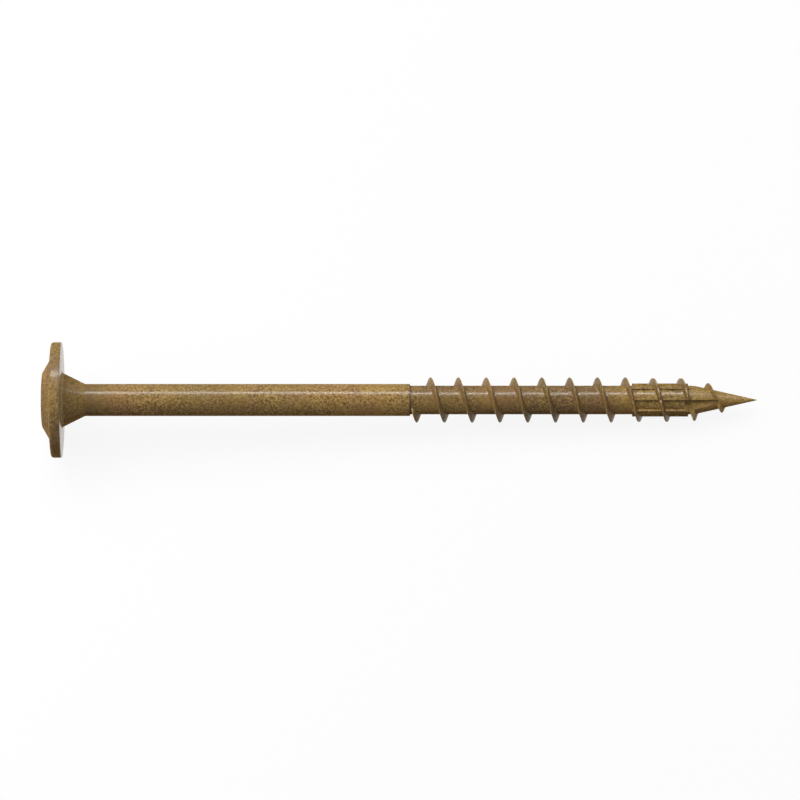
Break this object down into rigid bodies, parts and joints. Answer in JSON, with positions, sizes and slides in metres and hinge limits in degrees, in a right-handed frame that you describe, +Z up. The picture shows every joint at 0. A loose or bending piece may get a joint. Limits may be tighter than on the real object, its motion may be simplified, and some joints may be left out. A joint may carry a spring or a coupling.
{
  "type": "wafer head construction screw",
  "caption": "Long bronze-coated wood screw with a wide wafer head, star drive, plain shank, coarse half-length thread, reaming ribs and a fluted sharp point.",
  "frame": {"origin": "on the surface that the screw lies on, below the middle of its length", "axes": "+X along the screw from head to point as seen from above, +Z up from the surface it lies on; the screw's own axis dips towards the point by 3.3 degrees because the head is wider than the thread"},
  "size_m": [0.1045, 0.0168, 0.0169],
  "materials": {
    "bronze_coating": "speckled bronze coating over steel, low satin sheen"
  },
  "bodies": {
    "root": {"screw": "bronze_coating"}
  },
  "joints": []
}
